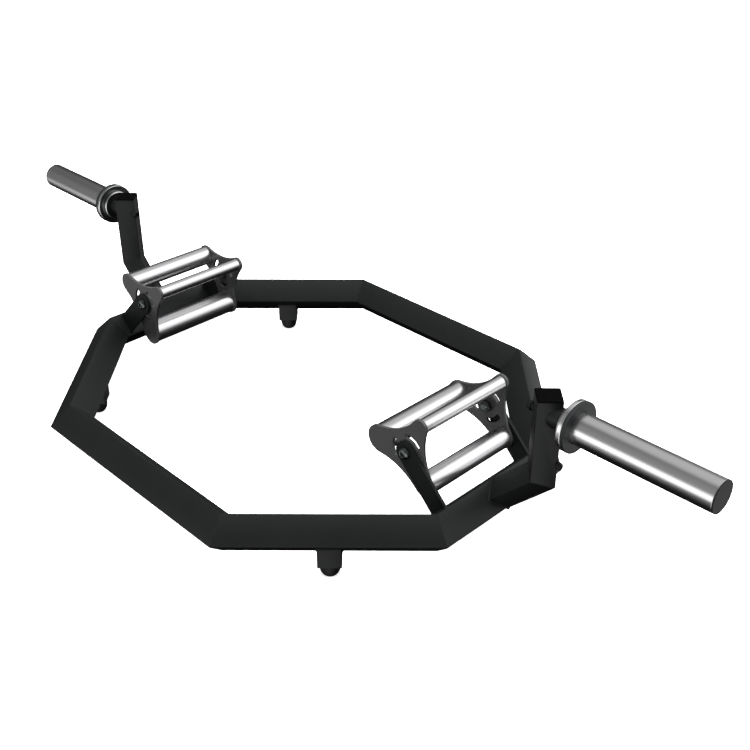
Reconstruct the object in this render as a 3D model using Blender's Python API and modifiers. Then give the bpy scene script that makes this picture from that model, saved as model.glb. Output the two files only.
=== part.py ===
# Trap bar with two turning grip drums, in metres.
# X runs along the plate sleeves, Y along the grips, Z up. The origin is on the floor under the centre.
# The bar looks the same after half a turn about Z, apart from how far each drum is turned.
import math

import bmesh
import bpy
from mathutils import Matrix, Vector

# Room left between pieces that touch, and round a piece that turns or passes through a hole
SEAT_GAP = 0.0003
HOLE_CLEARANCE = 0.0004
DRUM_PLAY = 0.0005

# How far a cutter runs past what it cuts
CUTTER_MARGIN = 0.010

# Octagon frame of square tube set on its corner, measured on the tubes' centre lines
FRAME_TUBE = 0.0508
FRAME_WALL = 0.003
FRAME_CORNER = 0.002
END_BAR_X = 0.442
END_BAR_PAST_BRACKET = 0.0222
DIAGONAL_LEG = 0.230
FRAME_Z = 0.079

# Raised arms and posts of smaller square tube
POST_TUBE = 0.0381
POST_WALL = 0.003
POST_CORNER = 0.0015
POST_X = 0.534
SLEEVE_Z = 0.2807
POST_ABOVE_SLEEVE = 0.0278

# Plug that closes the post's top, nearly flush with its sides
CAP_SET_BACK = 0.0001
CAP_EDGE = 0.0015
CAP_CHAMFER = 0.001
CAP_PLUG_LENGTH = 0.012
CAP_PLUG_CORNER = 0.003

# Feet
FOOT_TUBE = 0.0381
FOOT_WALL = 0.003
FOOT_CORNER = 0.0015
BUMPER_HEIGHT = 0.025
BUMPER_RADIUS = 0.017
BUMPER_SIDE = 0.007
BUMPER_FLAT_RADIUS = 0.0075
BUMPER_PLUG_LENGTH = 0.012

# Drum brackets and their pivot, which stands square off the end bar's upper inner face
PIVOT_REACH = 0.1283
BRACKET_WIDTH = 0.0381
BRACKET_THICKNESS = 0.005

# Grip drums: the angle of each lobe is counted from the fat grip, in degrees like the slots' spread
GRIP_LENGTH = 0.184
GRIP_WALL = 0.0025
GRIPS = {
    "fat": {"radius": 0.0226, "reach": 0.0615, "angle": 0},
    "medium": {"radius": 0.0185, "reach": 0.0585, "angle": 120},
    "thin": {"radius": 0.0118, "reach": 0.059, "angle": 240},
}
DRUM_TURN = {"right": 186, "left": 263}
PLATE_THICKNESS = 0.005
PLATE_RIM = 0.002
PLATE_WAIST_RADIUS = 0.110
SLOT_SPREAD = 50
SLOT_WIDTH = 0.0085
SLOT_REACH = 0.027

# Pivot bolts and nuts
PIVOT_SHANK_RADIUS = 0.006
PIVOT_HEAD_RADIUS = 0.0105
PIVOT_HEAD_HEIGHT = 0.0065
PIVOT_SOCKET_WIDTH = 0.008
PIVOT_NUT_WIDTH = 0.019
PIVOT_NUT_HEIGHT = 0.008
PIVOT_THREAD_BEYOND_NUT = 0.003

# Plate sleeves, each seated in its collar behind a soft ring, and the hub that carries them on the post
SLEEVE_RADIUS = 0.0247
SLEEVE_BORE_RADIUS = 0.0195
SLEEVE_LENGTH = 0.2202
SLEEVE_SEAT_DEPTH = 0.003
SLEEVE_WEB = 0.014
SLEEVE_CHAMFER = 0.0005
END_CAP_THICKNESS = 0.002
END_CAP_PLUG_LENGTH = 0.010
COLLAR_RADIUS = 0.0395
COLLAR_THICKNESS = 0.0075
COLLAR_CHAMFER = 0.0008
SOFT_RING_RADIUS = 0.0398
SOFT_RING_THICKNESS = 0.006
SOFT_RING_CHAMFER = 0.0008
HUB_RADIUS = 0.0288
HUB_THICKNESS = 0.0075
HUB_CHAMFER = 0.0008
HUB_NECK_RADIUS = 0.017
HUB_NECK_LENGTH = 0.0081

# Bolt that draws the sleeve, collar and hub on to the post
SLEEVE_BOLT_RADIUS = 0.006
SLEEVE_BOLT_HEAD_RADIUS = 0.008
SLEEVE_BOLT_HEAD_HEIGHT = 0.0085
SLEEVE_BOLT_SOCKET_WIDTH = 0.008

# Peg screw on the post's outer corner
PEG_Z = 0.2017
PEG_SHANK_RADIUS = 0.003
PEG_SHANK_LENGTH = 0.012
PEG_HEAD_RADIUS = 0.006
PEG_HEAD_HEIGHT = 0.0075
PEG_SOCKET_WIDTH = 0.004

# Outline of a button head and its socket, as shares of the head's radius and height
HEAD_CROWN = 0.62
HEAD_SHOULDER = 0.88
HEAD_SHOULDER_RISE = 0.72
HEAD_RIM_RISE = 0.25
SOCKET_DEPTH = 0.6

# Facets of the round pieces
ROUND_STEPS = 36
BUMPER_STEPS = 24
BOLT_STEPS = 20
HOLE_STEPS = 16
SLOT_STEPS = 4
CORNER_STEPS = 2
LOBE_STEPS = 12
WAIST_STEPS = 8
DOME_STEPS = 4
SMOOTH_ANGLE = math.radians(35)
WELD_DISTANCE = 0.000001

MATERIALS = {
    "frame_paint": ((0.022, 0.022, 0.023), 0.55, 0.0),
    "bracket_paint": ((0.020, 0.020, 0.021), 0.50, 0.0),
    "cap_plastic": ((0.012, 0.012, 0.012), 0.60, 0.0),
    "bumper_rubber": ((0.010, 0.010, 0.010), 0.80, 0.0),
    "plate_paint": ((0.070, 0.070, 0.072), 0.45, 0.3),
    "grip_chrome": ((0.80, 0.80, 0.81), 0.16, 1.0),
    "sleeve_chrome": ((0.62, 0.62, 0.63), 0.24, 1.0),
    "soft_ring": ((0.030, 0.033, 0.033), 0.55, 0.0),
    "hub_steel": ((0.70, 0.70, 0.71), 0.30, 1.0),
    "end_cap": ((0.038, 0.038, 0.038), 0.50, 0.0),
    "fastener_zinc": ((0.55, 0.56, 0.56), 0.35, 1.0),
    "fastener_black": ((0.030, 0.030, 0.031), 0.40, 0.6),
}

# Slope of the faces of a square tube set on its corner
FACE_SLOPE = math.radians(45)
LEAN = math.cos(FACE_SLOPE)

# Distances from the middle of a grip to the faces of what lies outside it
PLATE_INNER = GRIP_LENGTH / 2 + SEAT_GAP
PLATE_OUTER = PLATE_INNER + PLATE_THICKNESS
BRACKET_INNER = PLATE_OUTER + DRUM_PLAY
BRACKET_OUTER = BRACKET_INNER + BRACKET_THICKNESS

# Half lengths of the end bars and of the whole frame, on the tubes' centre lines
END_BAR_Y = BRACKET_OUTER + END_BAR_PAST_BRACKET
SIDE_BAR_Y = END_BAR_Y + DIAGONAL_LEG

UP = Vector((0, 0, 1))
OUT = Vector((1, 0, 0))
HALF_TURN = {"right": Matrix.Identity(4), "left": Matrix.Rotation(math.pi, 4, "Z")}
END_SIGNS = {"front": -1, "back": 1}


def clear_scene():
    for obj in list(bpy.data.objects):
        bpy.data.objects.remove(obj, do_unlink=True)


def new_collection(name):
    collection = bpy.data.collections.new(name)
    bpy.context.scene.collection.children.link(collection)
    return collection


def new_material(name):
    colour, roughness, metallic = MATERIALS[name]
    material = bpy.data.materials.new(name)
    material.use_nodes = True
    shader = material.node_tree.nodes["Principled BSDF"]
    shader.inputs["Base Color"].default_value = (*colour, 1)
    shader.inputs["Roughness"].default_value = roughness
    shader.inputs["Metallic"].default_value = metallic
    material.diffuse_color = (*colour, 1)
    return material


def add_part(name, mesh, material, matrix, parent=None):
    obj = bpy.data.objects.new(name, mesh)
    if not mesh.materials:
        mesh.materials.append(bpy.data.materials.get(material) or new_material(material))
    bpy.data.collections["trap_bar"].objects.link(obj)
    obj.parent = parent
    obj.matrix_local = matrix
    return obj


def add_cutter(name, mesh, matrix):
    cutter = bpy.data.objects.new(name, mesh)
    bpy.data.collections["cutters"].objects.link(cutter)
    cutter.matrix_world = matrix
    cutter.hide_render = True
    cutter.display_type = "WIRE"
    return cutter


def cut(obj, cutter):
    modifier = obj.modifiers.new(f"less_{cutter.name}", "BOOLEAN")
    modifier.operation = "DIFFERENCE"
    modifier.solver = "EXACT"
    modifier.object = cutter


def baked_mesh(obj):
    # Mesh of an object with its modifiers, welded, in place of the object
    collection = bpy.data.collections["cutters"]
    if obj.name not in collection.objects:
        collection.objects.link(obj)
    graph = bpy.context.evaluated_depsgraph_get()
    graph.update()
    mesh = bpy.data.meshes.new_from_object(obj.evaluated_get(graph))
    mesh.name = obj.name
    bpy.data.objects.remove(obj, do_unlink=True)
    shape = bmesh.new()
    shape.from_mesh(mesh)
    bmesh.ops.remove_doubles(shape, verts=shape.verts, dist=WELD_DISTANCE)
    bmesh.ops.recalc_face_normals(shape, faces=shape.faces)
    shape.to_mesh(mesh)
    shape.free()
    mesh.shade_smooth()
    mesh.set_sharp_from_angle(angle=SMOOTH_ANGLE)
    return mesh


def extruded(name, outlines, thickness):
    # Plate centred on its own plane: the first outline is its edge and the others are holes
    curve = bpy.data.curves.new(name, "CURVE")
    curve.dimensions = "2D"
    curve.fill_mode = "BOTH"
    curve.extrude = thickness / 2
    for outline in outlines:
        spline = curve.splines.new("POLY")
        spline.points.add(len(outline) - 1)
        for point, (x, y) in zip(spline.points, outline):
            point.co = (x, y, 0, 1)
        spline.use_cyclic_u = True
    return baked_mesh(bpy.data.objects.new(name, curve))


def turned(name, profile, steps=ROUND_STEPS, closed=False):
    # Solid of revolution about Z: the profile holds (radius, height), down its outer side
    count = len(profile)
    edges = [(i, (i + 1) % count) for i in range(count if closed else count - 1)]
    mesh = bpy.data.meshes.new(name)
    mesh.from_pydata([(radius, 0, height) for radius, height in profile], edges, [])
    obj = bpy.data.objects.new(name, mesh)
    screw = obj.modifiers.new("turn", "SCREW")
    screw.axis = "Z"
    screw.steps = steps
    screw.render_steps = steps
    screw.use_merge_vertices = True
    screw.merge_threshold = WELD_DISTANCE
    return baked_mesh(obj)


def arc(centre, radius, start, end, steps):
    points = []
    for step in range(steps + 1):
        angle = math.radians(start + (end - start) * step / steps)
        points.append((centre[0] + radius * math.cos(angle), centre[1] + radius * math.sin(angle)))
    return points


def regular(radius, sides, turn=0):
    return arc((0, 0), radius, turn, turn + 360, sides)[:-1]


def hexagon(width):
    return regular(width / 2 / math.cos(math.pi / 6), 6)


def half_diagonal(side):
    return side / math.sqrt(2)


def diamond(side, corner):
    # Square on its corner, its corners rounded and lying on the axes
    points = []
    reach = half_diagonal(side - 2 * corner)
    for quarter in range(4):
        angle = math.radians(90 * quarter)
        centre = (reach * math.cos(angle), reach * math.sin(angle))
        points += arc(centre, corner, 90 * quarter - 45, 90 * quarter + 45, CORNER_STEPS)
    return points


def along(start, end):
    # Frame with its Z from start to end, its X level, and its origin half-way
    axis = (end - start).normalized()
    level = UP.cross(axis)
    if level.length < WELD_DISTANCE:
        level = OUT
    level = level.normalized()
    across = axis.cross(level)
    matrix = Matrix((level, across, axis)).transposed().to_4x4()
    matrix.translation = (start + end) / 2
    return matrix


def facing_out(x, z):
    # Frame whose Z points along +X
    return Matrix.Translation((x, 0, z)) @ Matrix.Rotation(math.pi / 2, 4, "Y")


def square_tube(name, start, end, side, wall, corner, planes=()):
    # Tube on its corner from start to end. Each plane, a point and a normal, mitres one end.
    inner = regular(half_diagonal(side - 2 * wall), 4)
    mesh = extruded(name, (diamond(side, corner), inner), (end - start).length)
    matrix = along(start, end)
    axis = (end - start).normalized()
    for point, normal in planes:
        far_end = (point - matrix.translation).dot(axis) > 0
        for vertex in mesh.vertices:
            if (vertex.co.z > 0) == far_end:
                vertex.co.z += (point - matrix @ vertex.co).dot(normal) / axis.dot(normal)
    return mesh, matrix


def envelope(name, side, width):
    # Cutter for what a square tube on its corner passes, over a width along the tube
    outline = regular(half_diagonal(side + 2 * SEAT_GAP), 4)
    return extruded(name, (outline,), width + 2 * CUTTER_MARGIN)


def bolt_hole(shank_radius):
    return regular(shank_radius + HOLE_CLEARANCE, HOLE_STEPS)


def bolt(name, shank_radius, shank_length, head_radius, head_height, socket_width):
    # Button-head bolt whose head stands on Z = 0 and whose shank runs down
    profile = [
        (0, head_height),
        (head_radius * HEAD_CROWN, head_height),
        (head_radius * HEAD_SHOULDER, head_height * HEAD_SHOULDER_RISE),
        (head_radius, head_height * HEAD_RIM_RISE),
        (head_radius, 0),
        (shank_radius, 0),
        (shank_radius, -shank_length),
        (0, -shank_length),
    ]
    socket_depth = head_height * SOCKET_DEPTH
    socket = extruded(f"{name}_socket", (hexagon(socket_width),), socket_depth * 2)
    cutter = add_cutter(f"{name}_socket", socket, Matrix.Translation((0, 0, head_height)))
    obj = bpy.data.objects.new(name, turned(name, profile, BOLT_STEPS))
    cut(obj, cutter)
    return baked_mesh(obj)


def frame_corners():
    side_bar_x = END_BAR_X - DIAGONAL_LEG
    right_half = (
        Vector((side_bar_x, -SIDE_BAR_Y)),
        Vector((END_BAR_X, -END_BAR_Y)),
        Vector((END_BAR_X, END_BAR_Y)),
        Vector((side_bar_x, SIDE_BAR_Y)),
    )
    left_half = [-corner for corner in right_half]
    return [Vector((*corner, FRAME_Z)) for corner in (*right_half, *left_half)]


def build_frame():
    names = (
        "bar_front_right",
        "bar_right",
        "bar_back_right",
        "bar_back",
        "bar_back_left",
        "bar_left",
        "bar_front_left",
        "bar_front",
    )
    corners = frame_corners()
    count = len(corners)
    ways = [(corners[(i + 1) % count] - corners[i]).normalized() for i in range(count)]
    for i, name in enumerate(names):
        start = corners[i]
        end = corners[(i + 1) % count]
        start_normal = (ways[i - 1] + ways[i]).normalized()
        end_normal = (ways[i] + ways[(i + 1) % count]).normalized()
        planes = (
            (start + start_normal * SEAT_GAP / 2, start_normal),
            (end - end_normal * SEAT_GAP / 2, end_normal),
        )
        mesh, matrix = square_tube(name, start, end, FRAME_TUBE, FRAME_WALL, FRAME_CORNER, planes)
        add_part(name, mesh, "frame_paint", matrix)


def build_feet():
    start = frame_corners()[0]
    end = frame_corners()[1]
    middle = (start + end) / 2
    bar_envelope = envelope("bar_envelope", FRAME_TUBE, FOOT_TUBE)
    foot_bottom = UP * BUMPER_HEIGHT
    foot_top = UP * FRAME_Z
    post, upright = square_tube("foot_post", foot_bottom, foot_top, FOOT_TUBE, FOOT_WALL, FOOT_CORNER)
    plug_radius = FOOT_TUBE / 2 - FOOT_WALL - SEAT_GAP
    shoulder = BUMPER_HEIGHT - SEAT_GAP
    dome_height = shoulder - BUMPER_SIDE
    dome = []
    for step in range(1, DOME_STEPS):
        angle = math.radians(90 * step / DOME_STEPS)
        radius = BUMPER_FLAT_RADIUS + (BUMPER_RADIUS - BUMPER_FLAT_RADIUS) * math.cos(angle)
        dome.append((radius, dome_height * (1 - math.sin(angle))))
    profile = [
        (0, shoulder + BUMPER_PLUG_LENGTH),
        (plug_radius, shoulder + BUMPER_PLUG_LENGTH),
        (plug_radius, shoulder),
        (BUMPER_RADIUS, shoulder),
        (BUMPER_RADIUS, dome_height),
        *dome,
        (BUMPER_FLAT_RADIUS, 0),
        (0, 0),
    ]
    bumper = turned("foot_bumper", profile, BUMPER_STEPS)
    for end_name, y_sign in END_SIGNS.items():
        for side, x_sign in (("right", 1), ("left", -1)):
            place = Vector((middle.x * x_sign, -middle.y * y_sign, 0))
            shift = Matrix.Translation(place)
            name = f"{end_name}_{side}"
            bar_way = Vector((x_sign, -y_sign, 0))
            bar_place = place + UP * FRAME_Z
            foot = add_part(f"foot_post_{name}", post, "frame_paint", shift @ upright)
            bar_frame = along(bar_place - bar_way, bar_place + bar_way)
            cut(foot, add_cutter(f"bar_over_{name}", bar_envelope, bar_frame))
            add_part(f"foot_bumper_{name}", bumper, "bumper_rubber", shift)


def build_posts():
    bar_centre = Vector((END_BAR_X, 0, FRAME_Z))
    arm_way = Vector((LEAN, 0, LEAN))
    bend = Vector((POST_X, 0, FRAME_Z + POST_X - END_BAR_X))
    bend_normal = (arm_way + UP).normalized()
    foot = bar_centre + arm_way * (FRAME_TUBE / 2 + SEAT_GAP)
    top = Vector((POST_X, 0, SLEEVE_Z + POST_ABOVE_SLEEVE))
    arm_mitre = (bend - bend_normal * SEAT_GAP / 2, bend_normal)
    post_mitre = (bend + bend_normal * SEAT_GAP / 2, bend_normal)
    tube_sizes = (POST_TUBE, POST_WALL, POST_CORNER)
    arm, arm_place = square_tube("arm", foot, bend, *tube_sizes, (arm_mitre,))
    post, post_place = square_tube("post", bend, top, *tube_sizes, (post_mitre,))
    post_width = 2 * half_diagonal(POST_TUBE) + 2 * CUTTER_MARGIN
    sleeve_hole = extruded("sleeve_bolt_hole", (bolt_hole(SLEEVE_BOLT_RADIUS),), post_width)
    peg_hole = extruded("peg_hole", (bolt_hole(PEG_SHANK_RADIUS),), POST_TUBE)
    through = facing_out(POST_X, SLEEVE_Z)
    outside = facing_out(POST_X + half_diagonal(POST_TUBE), PEG_Z)
    cap = post_cap_mesh()
    for side, turn in HALF_TURN.items():
        add_part(f"arm_{side}", arm, "frame_paint", turn @ arm_place)
        body = add_part(f"post_{side}", post, "frame_paint", turn @ post_place)
        cut(body, add_cutter(f"sleeve_bolt_hole_{side}", sleeve_hole, turn @ through))
        cut(body, add_cutter(f"peg_hole_{side}", peg_hole, turn @ outside))
        add_part(f"post_cap_{side}", cap, "cap_plastic", turn @ Matrix.Translation(top))


def post_cap_mesh():
    # Square rings from the plug's foot to the cap's chamfered top, joined one after another
    plug = POST_TUBE - 2 * POST_WALL - 2 * SEAT_GAP
    width = POST_TUBE - 2 * CAP_SET_BACK
    rings = (
        (plug, CAP_PLUG_CORNER, SEAT_GAP - CAP_PLUG_LENGTH),
        (plug, CAP_PLUG_CORNER, SEAT_GAP),
        (width, POST_CORNER, SEAT_GAP),
        (width, POST_CORNER, SEAT_GAP + CAP_EDGE),
        (width - 2 * CAP_CHAMFER, POST_CORNER, SEAT_GAP + CAP_EDGE + CAP_CHAMFER),
    )
    shape = bmesh.new()
    loops = []
    for side, corner, height in rings:
        loops.append([shape.verts.new((x, y, height)) for x, y in diamond(side, corner)])
    for lower, upper in zip(loops, loops[1:]):
        for i in range(len(lower)):
            after = (i + 1) % len(lower)
            shape.faces.new((lower[i], lower[after], upper[after], upper[i]))
    shape.faces.new(loops[0])
    shape.faces.new(loops[-1])
    bmesh.ops.recalc_face_normals(shape, faces=shape.faces)
    mesh = bpy.data.meshes.new("post_cap")
    shape.to_mesh(mesh)
    shape.free()
    return mesh


def build_sleeves():
    hub_face = POST_X + half_diagonal(POST_TUBE) + HUB_NECK_LENGTH + HUB_THICKNESS
    collar_back = hub_face + SEAT_GAP
    collar_face = collar_back + COLLAR_THICKNESS
    ring_back = collar_face + SEAT_GAP
    ring_face = ring_back + SOFT_RING_THICKNESS
    sleeve_back = collar_face - SLEEVE_SEAT_DEPTH + SEAT_GAP
    sleeve_face = ring_face + SLEEVE_LENGTH
    hole = SLEEVE_BOLT_RADIUS + HOLE_CLEARANCE
    pieces = {
        "hub": (hub_mesh(hub_face - POST_X, hole), "hub_steel", hub_face),
        "collar": (collar_mesh(hole), "hub_steel", collar_back),
        "soft_ring": (soft_ring_mesh(), "soft_ring", ring_back),
        "sleeve": (sleeve_mesh(sleeve_face - sleeve_back, hole), "sleeve_chrome", sleeve_back),
        "sleeve_end_cap": (end_cap_mesh(), "end_cap", sleeve_face + SEAT_GAP),
    }
    head_seat = POST_X - half_diagonal(POST_TUBE) + POST_CORNER * (math.sqrt(2) - 1) - SEAT_GAP
    sleeve_bolt = bolt(
        "sleeve_bolt",
        SLEEVE_BOLT_RADIUS,
        sleeve_back + SLEEVE_WEB - head_seat,
        SLEEVE_BOLT_HEAD_RADIUS,
        SLEEVE_BOLT_HEAD_HEIGHT,
        SLEEVE_BOLT_SOCKET_WIDTH,
    )
    peg = bolt(
        "peg",
        PEG_SHANK_RADIUS,
        PEG_SHANK_LENGTH,
        PEG_HEAD_RADIUS,
        PEG_HEAD_HEIGHT,
        PEG_SOCKET_WIDTH,
    )
    peg_seat = POST_X + half_diagonal(POST_TUBE) - POST_CORNER * (math.sqrt(2) - 1) + SEAT_GAP
    post_envelope = envelope("post_envelope", POST_TUBE, 2 * HUB_NECK_RADIUS)
    for side, turn in HALF_TURN.items():
        for name, (mesh, material, x) in pieces.items():
            piece = add_part(f"{name}_{side}", mesh, material, turn @ facing_out(x, SLEEVE_Z))
            if name == "hub":
                upright = turn @ Matrix.Translation((POST_X, 0, SLEEVE_Z))
                cut(piece, add_cutter(f"post_in_hub_{side}", post_envelope, upright))
        facing_in = facing_out(head_seat, SLEEVE_Z) @ Matrix.Rotation(math.pi, 4, "X")
        add_part(f"sleeve_bolt_{side}", sleeve_bolt, "fastener_black", turn @ facing_in)
        add_part(f"post_peg_{side}", peg, "fastener_black", turn @ facing_out(peg_seat, PEG_Z))


def hub_mesh(reach, hole):
    # Face at Z = 0, with the neck running back to the post's centre
    profile = (
        (hole, 0),
        (HUB_RADIUS - HUB_CHAMFER, 0),
        (HUB_RADIUS, -HUB_CHAMFER),
        (HUB_RADIUS, HUB_CHAMFER - HUB_THICKNESS),
        (HUB_RADIUS - HUB_CHAMFER, -HUB_THICKNESS),
        (HUB_NECK_RADIUS, -HUB_THICKNESS),
        (HUB_NECK_RADIUS, -reach),
        (hole, -reach),
    )
    return turned("hub", profile, closed=True)


def collar_mesh(hole):
    seat_radius = SLEEVE_RADIUS + SEAT_GAP
    seat = COLLAR_THICKNESS - SLEEVE_SEAT_DEPTH
    profile = (
        (hole, seat),
        (seat_radius, seat),
        (seat_radius, COLLAR_THICKNESS),
        (COLLAR_RADIUS - COLLAR_CHAMFER, COLLAR_THICKNESS),
        (COLLAR_RADIUS, COLLAR_THICKNESS - COLLAR_CHAMFER),
        (COLLAR_RADIUS, COLLAR_CHAMFER),
        (COLLAR_RADIUS - COLLAR_CHAMFER, 0),
        (hole, 0),
    )
    return turned("collar", profile, closed=True)


def soft_ring_mesh():
    bore = SLEEVE_RADIUS + SEAT_GAP
    profile = (
        (bore, SOFT_RING_THICKNESS),
        (SOFT_RING_RADIUS - SOFT_RING_CHAMFER, SOFT_RING_THICKNESS),
        (SOFT_RING_RADIUS, SOFT_RING_THICKNESS - SOFT_RING_CHAMFER),
        (SOFT_RING_RADIUS, SOFT_RING_CHAMFER),
        (SOFT_RING_RADIUS - SOFT_RING_CHAMFER, 0),
        (bore, 0),
    )
    return turned("soft_ring", profile, closed=True)


def sleeve_mesh(length, hole):
    profile = (
        (SLEEVE_BORE_RADIUS, length),
        (SLEEVE_RADIUS - SLEEVE_CHAMFER, length),
        (SLEEVE_RADIUS, length - SLEEVE_CHAMFER),
        (SLEEVE_RADIUS, 0),
        (hole, 0),
        (hole, SLEEVE_WEB),
        (SLEEVE_BORE_RADIUS, SLEEVE_WEB),
    )
    return turned("sleeve", profile, closed=True)


def end_cap_mesh():
    plug_radius = SLEEVE_BORE_RADIUS - SEAT_GAP
    profile = (
        (0, END_CAP_THICKNESS),
        (SLEEVE_RADIUS - SLEEVE_CHAMFER, END_CAP_THICKNESS),
        (SLEEVE_RADIUS, END_CAP_THICKNESS - SLEEVE_CHAMFER),
        (SLEEVE_RADIUS, 0),
        (plug_radius, 0),
        (plug_radius, -END_CAP_PLUG_LENGTH),
        (0, -END_CAP_PLUG_LENGTH),
    )
    return turned("sleeve_end_cap", profile)


def polar(radius, angle):
    turned_by = math.radians(angle)
    return Vector((math.cos(turned_by), math.sin(turned_by))) * radius


def lobe_centre(grip):
    return polar(grip["reach"], grip["angle"])


def plate_outline():
    # Lobes round the three grips, joined by hollow waists that meet each lobe without a corner
    lobes = [(lobe_centre(grip), grip["radius"] + PLATE_RIM) for grip in GRIPS.values()]
    count = len(lobes)
    waists = [waist_centre(*lobes[i], *lobes[(i + 1) % count]) for i in range(count)]
    outline = []
    for i, (centre, radius) in enumerate(lobes):
        start = degrees_to(centre, waists[i - 1])
        end = degrees_to(centre, waists[i])
        outline += arc(centre, radius, start, start + (end - start) % 360, LOBE_STEPS)
        after = lobes[(i + 1) % count][0]
        start = degrees_to(waists[i], centre)
        end = degrees_to(waists[i], after)
        hollow = arc(waists[i], PLATE_WAIST_RADIUS, start, start - (start - end) % 360, WAIST_STEPS)
        outline += hollow[1:-1]
    return outline


def degrees_to(start, end):
    return math.degrees(math.atan2(end[1] - start[1], end[0] - start[0]))


def waist_centre(first, first_radius, second, second_radius):
    # Centre of the circle that touches both lobes from outside, on the side away from the pivot
    near = first_radius + PLATE_WAIST_RADIUS
    far = second_radius + PLATE_WAIST_RADIUS
    way = second - first
    span = way.length
    run = (span * span + near * near - far * far) / (2 * span)
    rise = math.sqrt(near * near - run * run)
    outward = Vector((way.y, -way.x)) / span
    return first + way / span * run + outward * rise


def slot_outline(grip):
    # Curved slot about the pivot, in line with its grip
    start = grip["angle"] - SLOT_SPREAD / 2
    end = grip["angle"] + SLOT_SPREAD / 2
    step = SLOT_SPREAD / SLOT_STEPS
    half_width = SLOT_WIDTH / 2
    outside = arc((0, 0), SLOT_REACH + half_width, start + step, end - step, SLOT_STEPS - 2)
    inside = arc((0, 0), SLOT_REACH - half_width, end - step, start + step, SLOT_STEPS - 2)
    end_round = arc(polar(SLOT_REACH, end), half_width, end, end + 180, SLOT_STEPS)
    start_round = arc(polar(SLOT_REACH, start), half_width, start + 180, start + 360, SLOT_STEPS)
    return outside + end_round + inside + start_round


def pivot_place():
    return Vector((END_BAR_X - PIVOT_REACH * LEAN, 0, FRAME_Z + PIVOT_REACH * LEAN))


def side_on(place, turn):
    # Frame whose X and Y lie in the drum's plane, X turned up from +X, and whose Z points to the front
    return Matrix.Translation(place) @ Matrix.Rotation(-turn, 4, "Y") @ Matrix.Rotation(math.pi / 2, 4, "X")


def build_drums():
    slots = [slot_outline(grip) for grip in GRIPS.values()]
    outlines = (plate_outline(), bolt_hole(PIVOT_SHANK_RADIUS), *slots)
    plate = extruded("drum_plate", outlines, PLATE_THICKNESS)
    grip_meshes = {name: grip_mesh(grip["radius"]) for name, grip in GRIPS.items()}
    for side, turn in HALF_TURN.items():
        drum = bpy.data.objects.new(f"drum_{side}", None)
        bpy.data.collections["trap_bar"].objects.link(drum)
        drum.matrix_world = turn @ side_on(pivot_place(), math.radians(DRUM_TURN[side]))
        for end_name, y_sign in END_SIGNS.items():
            front = -y_sign if side == "right" else y_sign
            place = Matrix.Translation((0, 0, front * (PLATE_INNER + PLATE_OUTER) / 2))
            add_part(f"drum_plate_{side}_{end_name}", plate, "plate_paint", place, drum)
        for name, grip in GRIPS.items():
            place = Matrix.Translation(lobe_centre(grip).to_3d())
            add_part(f"grip_{side}_{name}", grip_meshes[name], "grip_chrome", place, drum)


def grip_mesh(radius):
    half = GRIP_LENGTH / 2
    bore = radius - GRIP_WALL
    return turned("grip", ((bore, half), (radius, half), (radius, -half), (bore, -half)), closed=True)


def bracket_mesh():
    # X runs from the pivot down to the end bar
    half = BRACKET_WIDTH / 2
    foot = PIVOT_REACH - FRAME_TUBE / 2 - SEAT_GAP
    outline = arc((0, 0), half, 90, 270, ROUND_STEPS // 2) + [(foot, -half), (foot, half)]
    return extruded("bracket", (outline, bolt_hole(PIVOT_SHANK_RADIUS)), BRACKET_THICKNESS)


def build_brackets():
    bracket = bracket_mesh()
    nut_top = PLATE_INNER - SEAT_GAP
    nut_outlines = (hexagon(PIVOT_NUT_WIDTH), bolt_hole(PIVOT_SHANK_RADIUS))
    nut = extruded("pivot_nut", nut_outlines, PIVOT_NUT_HEIGHT)
    head_seat = BRACKET_OUTER + SEAT_GAP
    shank_end = nut_top - PIVOT_NUT_HEIGHT - PIVOT_THREAD_BEYOND_NUT
    pivot_bolt = bolt(
        "pivot_bolt",
        PIVOT_SHANK_RADIUS,
        head_seat - shank_end,
        PIVOT_HEAD_RADIUS,
        PIVOT_HEAD_HEIGHT,
        PIVOT_SOCKET_WIDTH,
    )
    pieces = (
        ("bracket", bracket, "bracket_paint", (BRACKET_INNER + BRACKET_OUTER) / 2),
        ("pivot_bolt", pivot_bolt, "fastener_zinc", head_seat),
        ("pivot_nut", nut, "fastener_zinc", nut_top - PIVOT_NUT_HEIGHT / 2),
    )
    toward_bar = side_on(pivot_place(), -FACE_SLOPE)
    for side, turn in HALF_TURN.items():
        for end_name, y_sign in END_SIGNS.items():
            # side_on looks out to the front, so the other end's pieces are turned over
            faces_front = y_sign < 0 if side == "right" else y_sign > 0
            flip = Matrix.Identity(4) if faces_front else Matrix.Rotation(math.pi, 4, "X")
            for name, mesh, material, height in pieces:
                place = turn @ toward_bar @ flip @ Matrix.Translation((0, 0, height))
                add_part(f"{name}_{side}_{end_name}", mesh, material, place)


def main():
    clear_scene()
    new_collection("trap_bar")
    new_collection("cutters")
    build_frame()
    build_feet()
    build_posts()
    build_sleeves()
    build_drums()
    build_brackets()


main()
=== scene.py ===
import math

import bmesh
import bpy
from mathutils import Matrix, Vector


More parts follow.
